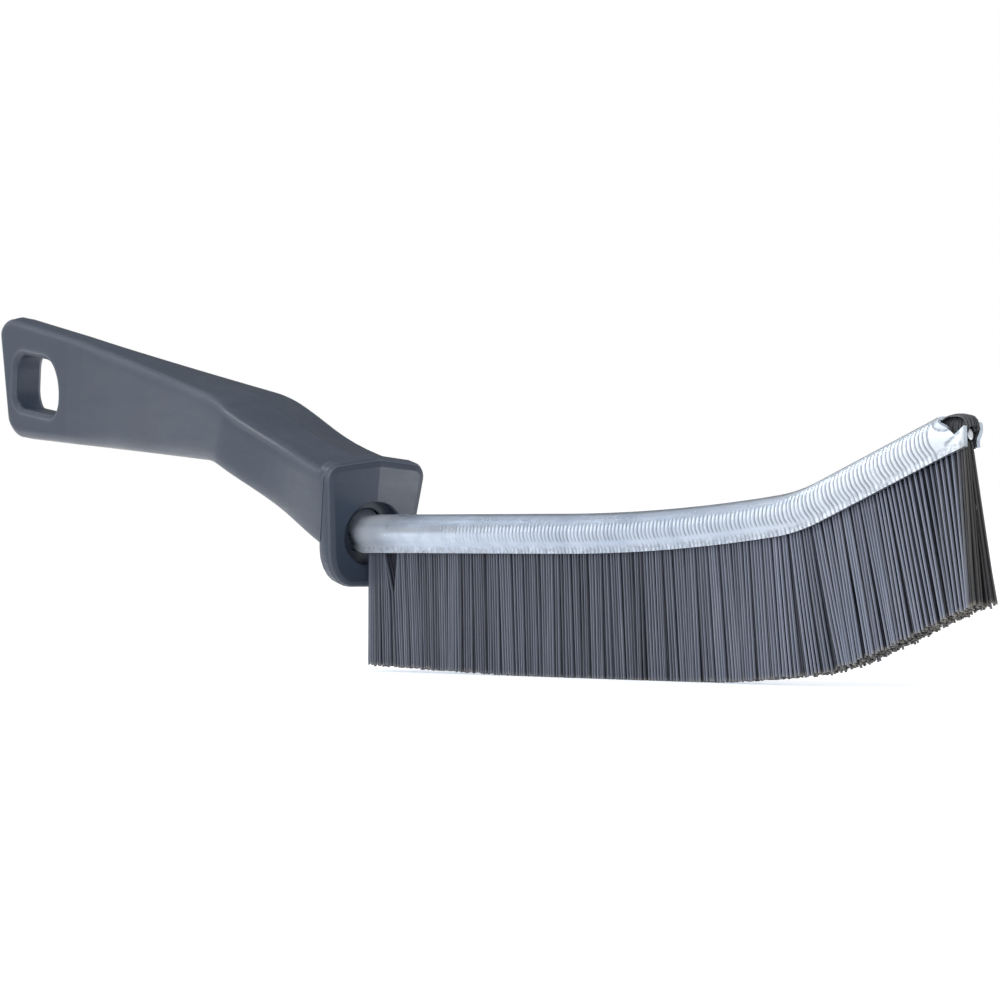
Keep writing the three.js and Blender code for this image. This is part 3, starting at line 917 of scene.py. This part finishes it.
def mix_colour(tree, share, a, b):
    node = tree.nodes.new("ShaderNodeMix")
    node.data_type = "RGBA"
    feed(tree, node.inputs[MIX_SHARE], share)
    feed(tree, node.inputs[MIX_COLOURS[0]], a)
    feed(tree, node.inputs[MIX_COLOURS[1]], b)
    return node.outputs[MIX_COLOUR_OUT]


def math_node(tree, operation, a, b):
    node = tree.nodes.new("ShaderNodeMath")
    node.operation = operation
    feed(tree, node.inputs[0], a)
    feed(tree, node.inputs[1], b)
    return node.outputs[0]


def attribute(tree, name):
    return add_node(tree, "ShaderNodeAttribute", output="Fac", settings={"attribute_name": name})


def bump(tree, height, strength, distance, normal=None):
    node = tree.nodes.new("ShaderNodeBump")
    feed(tree, node.inputs["Height"], height)
    feed(tree, node.inputs["Strength"], strength)
    feed(tree, node.inputs["Distance"], distance)
    if normal:
        feed(tree, node.inputs["Normal"], normal)
    return node.outputs[0]


# Radius that moulded edges are rounded to, and the wide easing of the handle's broad sides, which
# starts past the hang slot; reach of the edge wear and painted highlight on edges; depth of bumps
# in metres
EDGE_ROUND = 0.3
SIDE_ROUND = 3.0
SIDE_START = (-0.116, -0.106)
SIDE_FACING = (0.93, 0.97)
WEAR_AND_HIGHLIGHT_REACH = 1.5
BEVEL_SAMPLES = 8
WEAR_AND_HIGHLIGHT_SAMPLES = 12
BUMP_DEEP = 0.00006
BUMP_FINE = 0.00004

# Looks: the stretch of a noise or a shape that each takes up, then its strength at both ends
NOISE_MIDDLE = (0.3, 0.7)
PLASTIC_FLECKS = (0.62, 0.72, 0.0, 0.3)
EDGE_WEAR_AND_HIGHLIGHT = (0.92, 0.72, 0.0, 0.75)
FRONT_WEAR_AND_HIGHLIGHT = (0.78, 0.92, 1.0, 0.0)
WEAR_AND_HIGHLIGHT_PATCHES = (0.2, 0.6, 0.6, 1.0)
SPANGLE_TONES = (0.4, 0.95)
GROOVE_SHADE_FADE = (0.1, 0.9, 0.0, 0.75)
LIP_SPECKS = (0.4, 0.62, 0.0, 0.5)
DULL_METALLIC = (0.0, 1.0, 0.82, 0.2)
RUBBING = (0.5, 0.75, 0.0, 0.5)
TIP_DUST = (0.97, 1.0)
DUST_PATCHES = (0.35, 0.65, 0.1, 0.8)

# Shares of single looks, roughness from smooth to rough places, and strength of bumps
GRAIN_SHARE = 0.6
SPANGLE_SHARE = 0.35
TOE_HIGHLIGHT_SHARE = 0.7
CROWN_REFLECTION_SHARE = 0.5
FINE_SHARE = 0.05
PLASTIC_ROUGHNESS = (0.32, 0.46)
ZINC_ROUGHNESS = (0.26, 0.38)
STEEL_ROUGHNESS = (0.25, 0.45)
FILAMENT_ROUGHNESS = (0.3, 0.48)
PLASTIC_BUMP = 0.22
ZINC_BUMP = 0.24
STEEL_BUMP = 0.3
FILAMENT_BUMP = 0.25
PLASTIC_SPECULAR = 0.36

# Colours
PLASTIC_DARK = (0.032, 0.048, 0.081, 1)
PLASTIC_LIGHT = (0.038, 0.057, 0.093, 1)
PLASTIC_FLECK = (0.11, 0.122, 0.15, 1)
# Lighter edge colour: edge wear and painted highlight together
PLASTIC_WEAR_AND_HIGHLIGHT = (0.18, 0.21, 0.265, 1)
ZINC_DARK = (0.45, 0.53, 0.655, 1)
ZINC_LIGHT = (0.56, 0.64, 0.765, 1)
ZINC_TOE_HIGHLIGHT = (0.80, 0.87, 0.95, 1)
ZINC_CROWN_REFLECTION = (0.29, 0.37, 0.48, 1)
ZINC_GROOVE_SHADE = (0.16, 0.18, 0.22, 1)
ZINC_SPECK = (0.2, 0.22, 0.26, 1)
STEEL_DARK = (0.78, 0.80, 0.83, 1)
STEEL_LIGHT = (0.92, 0.93, 0.95, 1)
# Dark end of the filaments' tone, which the painted shade of the inner layers and under the lip
# reaches
FILAMENT_DARK = (0.009, 0.011, 0.020, 1)
FILAMENT_LIGHT = (0.232, 0.275, 0.385, 1)
FILAMENT_RUBBED = (0.31, 0.345, 0.44, 1)
FILAMENT_END_DARK = (0.07, 0.072, 0.074, 1)
FILAMENT_DUST = (0.34, 0.33, 0.31, 1)
FLOOR_PALE = (0.82, 0.83, 0.84, 1)
FLOOR_GLOW = (0.72, 0.84, 1.0, 1)
BACKDROP_LOW = (1, 1, 1, 1)
BACKDROP_HIGH = (0.40, 0.45, 0.52, 1)
SKY_LOW = (0.92, 0.97, 1.0, 1)
SKY_HIGH = (1.7, 1.4, 1.05, 1)


def bevel_normal(tree, radius):
    settings = {"samples": BEVEL_SAMPLES}
    return add_node(tree, "ShaderNodeBevel", settings=settings, Radius=radius * MM)


def ease_sides(tree, rounded, plain):
    """Normals that turn slowly over the broad sides, and keep to the fine rounding elsewhere."""
    wide = bevel_normal(tree, SIDE_ROUND)
    facing = add_node(tree, "ShaderNodeSeparateXYZ", output="Y", Vector=plain)
    sideways = ramp(tree, math_node(tree, "MULTIPLY", facing, facing), *SIDE_FACING)
    x = add_node(tree, "ShaderNodeSeparateXYZ", output="X", Vector=coordinates(tree))
    share = math_node(tree, "MULTIPLY", sideways, ramp(tree, x, *SIDE_START))
    node = tree.nodes.new("ShaderNodeMix")
    node.data_type = "VECTOR"
    feed(tree, node.inputs[MIX_SHARE], share)
    feed(tree, node.inputs[MIX_VECTORS[0]], rounded)
    feed(tree, node.inputs[MIX_VECTORS[1]], wide)
    return node.outputs[MIX_VECTOR_OUT]


def moulded_plastic():
    material, tree, shader = new_material("moulded_plastic")
    cloud = noise(tree, scale=55.0, detail=3.0, rough=0.55)
    speck = noise(tree, scale=2600.0, detail=2.0, rough=0.6)
    base = mix_colour(tree, ramp(tree, cloud, *NOISE_MIDDLE), PLASTIC_DARK, PLASTIC_LIGHT)
    flecks = ramp(tree, speck, *PLASTIC_FLECKS)
    flecked = mix_colour(tree, flecks, base, PLASTIC_FLECK)
    rounded = bevel_normal(tree, EDGE_ROUND)
    plain = add_node(tree, "ShaderNodeNewGeometry", output="Normal")
    inside = add_node(
        tree,
        "ShaderNodeAmbientOcclusion",
        output="AO",
        settings={"inside": True, "only_local": True, "samples": WEAR_AND_HIGHLIGHT_SAMPLES},
        Distance=WEAR_AND_HIGHLIGHT_REACH * MM,
    )
    ahead = add_node(tree, "ShaderNodeSeparateXYZ", output="X", Vector=plain)
    # Convex edges lightened, front faces left out: edge wear and painted highlight together
    edge = ramp(tree, inside, *EDGE_WEAR_AND_HIGHLIGHT)
    edge = math_node(tree, "MULTIPLY", edge, ramp(tree, ahead, *FRONT_WEAR_AND_HIGHLIGHT))
    wear_and_highlight = math_node(tree, "MULTIPLY", edge, ramp(tree, cloud, *WEAR_AND_HIGHLIGHT_PATCHES))
    feed(tree, shader.inputs["Base Color"], mix_colour(tree, wear_and_highlight, flecked, PLASTIC_WEAR_AND_HIGHLIGHT))
    eased = ease_sides(tree, rounded, plain)
    scuffs = noise(tree, scale=120.0, detail=4.0, rough=0.65, stretch=(0.25, 1.0, 1.6))
    rough = ramp(tree, scuffs, *NOISE_MIDDLE, *PLASTIC_ROUGHNESS)
    feed(tree, shader.inputs["Roughness"], rough)
    grain = noise(tree, scale=1500.0, detail=3.0, rough=0.6)
    drag = noise(tree, scale=260.0, detail=3.0, rough=0.6, stretch=(0.06, 1.0, 1.0))
    height = math_node(tree, "ADD", math_node(tree, "MULTIPLY", grain, GRAIN_SHARE), drag)
    feed(tree, shader.inputs["Normal"], bump(tree, height, PLASTIC_BUMP, BUMP_DEEP, eased))
    shader.inputs["Specular IOR Level"].default_value = PLASTIC_SPECULAR
    return material


def zinc_sheet():
    material, tree, shader = new_material("zinc_sheet")
    spangle = add_node(
        tree, "ShaderNodeTexVoronoi", output="Color", Vector=coordinates(tree), Scale=420.0
    )
    patch = add_node(tree, "ShaderNodeRGBToBW", Color=spangle)
    haze = noise(tree, scale=190.0, detail=4.0, rough=0.6)
    tone = math_node(tree, "ADD", math_node(tree, "MULTIPLY", patch, SPANGLE_SHARE), haze)
    base = mix_colour(tree, ramp(tree, tone, *SPANGLE_TONES), ZINC_DARK, ZINC_LIGHT)
    # Painted highlight: the sheet whitens towards the toe
    toe = math_node(tree, "MULTIPLY", attribute(tree, "bright"), TOE_HIGHLIGHT_SHARE)
    base = mix_colour(tree, toe, base, ZINC_TOE_HIGHLIGHT)
    # Painted darker reflection along the crown
    crown = math_node(tree, "MULTIPLY", attribute(tree, "crown_reflection"), CROWN_REFLECTION_SHARE)
    base = mix_colour(tree, crown, base, ZINC_CROWN_REFLECTION)
    # Grooves and creases darkened: painted shade
    groove_shade = ramp(tree, attribute(tree, "groove_shade"), *GROOVE_SHADE_FADE)
    lined = mix_colour(tree, groove_shade, base, ZINC_GROOVE_SHADE)
    specks = noise(tree, scale=1500.0, detail=2.0, rough=0.6)
    specks = ramp(tree, specks, *LIP_SPECKS)
    grainy = math_node(tree, "MULTIPLY", specks, attribute(tree, "grain"))
    speckled = mix_colour(tree, grainy, lined, ZINC_SPECK)
    feed(tree, shader.inputs["Base Color"], speckled)
    metallic = ramp(tree, attribute(tree, "dull"), *DULL_METALLIC)
    feed(tree, shader.inputs["Metallic"], metallic)
    smear = noise(tree, scale=700.0, detail=3.0, rough=0.6, stretch=(0.3, 1.0, 1.0))
    rough = ramp(tree, smear, *NOISE_MIDDLE, *ZINC_ROUGHNESS)
    feed(tree, shader.inputs["Roughness"], rough)
    fine = noise(tree, scale=2400.0, detail=2.0, rough=0.6)
    coarse = noise(tree, scale=1300.0, detail=2.0, rough=0.5)
    coarse = math_node(tree, "MULTIPLY", coarse, attribute(tree, "grain"))
    height = math_node(tree, "ADD", math_node(tree, "MULTIPLY", fine, FINE_SHARE), coarse)
    feed(tree, shader.inputs["Normal"], bump(tree, height, ZINC_BUMP, BUMP_DEEP))
    return material


def steel_wire():
    material, tree, shader = new_material("steel_wire")
    streak = noise(tree, scale=900.0, detail=3.0, rough=0.6, stretch=(0.1, 1.0, 1.0))
    base = mix_colour(tree, streak, STEEL_DARK, STEEL_LIGHT)
    feed(tree, shader.inputs["Base Color"], base)
    shader.inputs["Metallic"].default_value = 1.0
    rough = ramp(tree, streak, *NOISE_MIDDLE, *STEEL_ROUGHNESS)
    feed(tree, shader.inputs["Roughness"], rough)
    feed(tree, shader.inputs["Normal"], bump(tree, streak, STEEL_BUMP, BUMP_FINE))
    return material


def filament():
    material, tree, shader = new_material("filament")
    tone = attribute(tree, "shade")
    streak = noise(tree, scale=900.0, detail=2.0, rough=0.5, stretch=(1.0, 1.0, 0.08))
    body = mix_colour(tree, tone, FILAMENT_DARK, FILAMENT_LIGHT)
    rub = math_node(tree, "MULTIPLY", ramp(tree, streak, *RUBBING), tone)
    rubbed = mix_colour(tree, rub, body, FILAMENT_RUBBED)
    end_darkened = mix_colour(tree, attribute(tree, "end_dark"), rubbed, FILAMENT_END_DARK)
    tip = ramp(tree, attribute(tree, "tip"), *TIP_DUST)
    patchy = ramp(tree, noise(tree, scale=1700.0), *DUST_PATCHES)
    dust = math_node(tree, "MULTIPLY", tip, patchy)
    feed(tree, shader.inputs["Base Color"], mix_colour(tree, dust, end_darkened, FILAMENT_DUST))
    rough = ramp(tree, streak, *NOISE_MIDDLE, *FILAMENT_ROUGHNESS)
    feed(tree, shader.inputs["Roughness"], rough)
    feed(tree, shader.inputs["Normal"], bump(tree, streak, FILAMENT_BUMP, BUMP_FINE))
    return material


def paint(obj, material):
    obj.data.materials.clear()
    obj.data.materials.append(material)


# Stage, in metres
FLOOR_SIZE = 8.0
FLOOR_GLOW_STRENGTH = 0.56
BACKDROP_FADE = (0.18, 0.62)
SKY_FADE = (0.3, 0.9)
SKY_SIDE_FADE = (-0.1, 0.9)
SKY_STRENGTH = (0.62, 0.48)
CARD_ROUGHNESS = 0.9
STAGE_AIM = (0.0, 0.0, 0.03)
CARD_AIM = (0.05, 0.0, 0.03)


def make_sheet(name, width, height):
    x, y = width / 2, height / 2
    return make_mesh(name, [(-x, -y, 0), (x, -y, 0), (x, y, 0), (-x, y, 0)], [(0, 1, 2, 3)])


def make_floor():
    floor = make_sheet("floor", FLOOR_SIZE, FLOOR_SIZE)
    material = bpy.data.materials.new("floor_white")
    material.use_nodes = True
    tree = material.node_tree
    tree.nodes.clear()
    diffuse = add_node(tree, "ShaderNodeBsdfDiffuse", Color=FLOOR_PALE)
    glow = add_node(
        tree, "ShaderNodeEmission", Color=FLOOR_GLOW, Strength=FLOOR_GLOW_STRENGTH
    )
    lit = tree.nodes.new("ShaderNodeAddShader")
    tree.links.new(diffuse, lit.inputs[0])
    tree.links.new(glow, lit.inputs[1])
    mix = tree.nodes.new("ShaderNodeMixShader")
    feed(tree, mix.inputs[0], seen_ray(tree))
    tree.links.new(diffuse, mix.inputs[1])
    tree.links.new(lit.outputs[0], mix.inputs[2])
    out = tree.nodes.new("ShaderNodeOutputMaterial")
    tree.links.new(mix.outputs[0], out.inputs["Surface"])
    floor.data.materials.append(material)


def seen_ray(tree):
    path = tree.nodes.new("ShaderNodeLightPath")
    seen = math_node(
        tree, "MAXIMUM", path.outputs["Is Camera Ray"], path.outputs["Is Glossy Ray"]
    )
    return math_node(tree, "MAXIMUM", seen, path.outputs["Is Transmission Ray"])


def make_world():
    world = bpy.data.worlds.new("studio")
    scene.world = world
    world.use_nodes = True
    tree = world.node_tree
    tree.nodes.clear()
    way = add_node(tree, "ShaderNodeTexCoord", output="Generated")
    height = add_node(tree, "ShaderNodeSeparateXYZ", output="Z", Vector=way)
    colour = mix_colour(
        tree, ramp(tree, height, *BACKDROP_FADE), BACKDROP_LOW, BACKDROP_HIGH
    )
    shown = add_node(tree, "ShaderNodeBackground", Color=colour, Strength=1.0)
    front = add_node(tree, "ShaderNodeSeparateXYZ", output="X", Vector=way)
    light = add_node(
        tree,
        "ShaderNodeBackground",
        Color=mix_colour(tree, ramp(tree, height, *SKY_FADE), SKY_LOW, SKY_HIGH),
        Strength=ramp(tree, front, *SKY_SIDE_FADE, *SKY_STRENGTH),
    )
    mix = tree.nodes.new("ShaderNodeMixShader")
    feed(tree, mix.inputs[0], seen_ray(tree))
    tree.links.new(light, mix.inputs[1])
    tree.links.new(shown, mix.inputs[2])
    out = tree.nodes.new("ShaderNodeOutputWorld")
    tree.links.new(mix.outputs[0], out.inputs["Surface"])


def aim(obj, place, target):
    obj.location = place
    obj.rotation_mode = "QUATERNION"
    obj.rotation_quaternion = (Vector(target) - Vector(place)).to_track_quat("-Z", "Y")


def softbox(name, place, target, width, height, radiance, spread=180.0):
    lamp = bpy.data.lights.new(name, "AREA")
    lamp.shape = "RECTANGLE"
    lamp.size = width
    lamp.size_y = height
    lamp.energy = math.pi * width * height * radiance
    lamp.spread = math.radians(spread)
    obj = bpy.data.objects.new(name, lamp)
    scene.collection.objects.link(obj)
    aim(obj, place, target)
    obj.visible_camera = False
    return obj


def flag(name, place, target, width, height, grey):
    """A grey card beside the set, which the bright metal mirrors."""
    card = make_sheet(name, width, height)
    material, _, shader = new_material(name)
    shader.inputs["Base Color"].default_value = (grey, grey, grey, 1)
    shader.inputs["Roughness"].default_value = CARD_ROUGHNESS
    card.data.materials.append(material)
    aim(card, place, target)
    card.visible_camera = False
    card.visible_diffuse = False
    card.visible_shadow = False


# Camera: the picture's centre, and the turn of the camera about it
CAMERA_AIM = ORIGIN + MM * Vector((9.615, 16.702, 4.755))
CAMERA_AZIMUTH = 60.0
CAMERA_ELEVATION = 0.3
CAMERA_ROLL = 1.0
CAMERA_DISTANCE = 1.0633
CAMERA_LENS = 252.0
CAMERA_SENSOR = 36.0
CAMERA_CLIP = (0.01, 50.0)


def make_camera():
    azimuth = math.radians(CAMERA_AZIMUTH)
    elevation = math.radians(CAMERA_ELEVATION)
    roll = math.radians(CAMERA_ROLL)
    right = Vector((math.cos(azimuth), math.sin(azimuth), 0.0))
    back = Vector(
        (
            math.sin(azimuth) * math.cos(elevation),
            -math.cos(azimuth) * math.cos(elevation),
            math.sin(elevation),
        )
    )
    up = back.cross(right)
    turned_right = math.cos(roll) * right - math.sin(roll) * up
    turned_up = math.sin(roll) * right + math.cos(roll) * up
    data = bpy.data.cameras.new("camera")
    data.lens = CAMERA_LENS
    data.sensor_width = CAMERA_SENSOR
    data.clip_start, data.clip_end = CAMERA_CLIP
    camera = bpy.data.objects.new("camera", data)
    scene.collection.objects.link(camera)
    turn = Matrix((turned_right, turned_up, back)).transposed().to_4x4()
    camera.matrix_world = Matrix.Translation(CAMERA_AIM + CAMERA_DISTANCE * back) @ turn
    scene.camera = camera


# Handle: modifiers join its flat faces and even out its normals, and its own mesh stays
FLAT_ANGLE = 0.5
NORMAL_WEIGHT = 50


def soften_handle(obj):
    flat = obj.modifiers.new("flat_faces", "DECIMATE")
    flat.decimate_type = "DISSOLVE"
    flat.angle_limit = math.radians(FLAT_ANGLE)
    smooth_shade(obj, HANDLE_SMOOTH)
    even = obj.modifiers.new("even_normals", "WEIGHTED_NORMAL")
    even.weight = NORMAL_WEIGHT
    even.keep_sharp = True


# Assembly of the picture
make_camera()
make_world()
make_floor()
softbox("softbox_key", (-0.5, -0.95, 0.6), STAGE_AIM, width=1.2, height=1.2, radiance=1.2)
softbox("softbox_front", (0.43, -0.8, 0.14), STAGE_AIM, width=0.3, height=0.35, radiance=6.0)
softbox(
    "softbox_edge",
    (-0.62, -0.43, 0.6),
    (-0.075, 0.0, 0.035),
    width=0.3,
    height=0.4,
    radiance=0.1,
    spread=16.0,
)
far_lamp = softbox(
    "softbox_far", (0.14, 0.85, 0.22), STAGE_AIM, width=0.6, height=0.6, radiance=2.4
)
far_lamp.visible_glossy = False
low_lamp = softbox(
    "softbox_low", (0.055, 0.07, 0.003), (0.055, 0.07, 1.0), width=0.07, height=0.06, radiance=9.0
)
low_lamp.visible_diffuse = False
flag("flag_back", (-0.655, 0.459, 0.05), CARD_AIM, width=0.5, height=0.9, grey=0.16)
flag("flag_left", (-0.7, -0.4, 0.05), CARD_AIM, width=0.4, height=0.5, grey=0.5)

plastic = moulded_plastic()
zinc = zinc_sheet()
steel = steel_wire()
hair = filament()

channel = make_channel()
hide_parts("strip_channel")
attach(channel, "root")
paint(channel, zinc)

for piece in make_bristles():
    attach(piece, "root")
    paint(piece, hair)

paint(nodes["handle"], plastic)
soften_handle(nodes["handle"])
wire = make_wire()
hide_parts("core_wire")
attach(wire, "root")
paint(wire, steel)
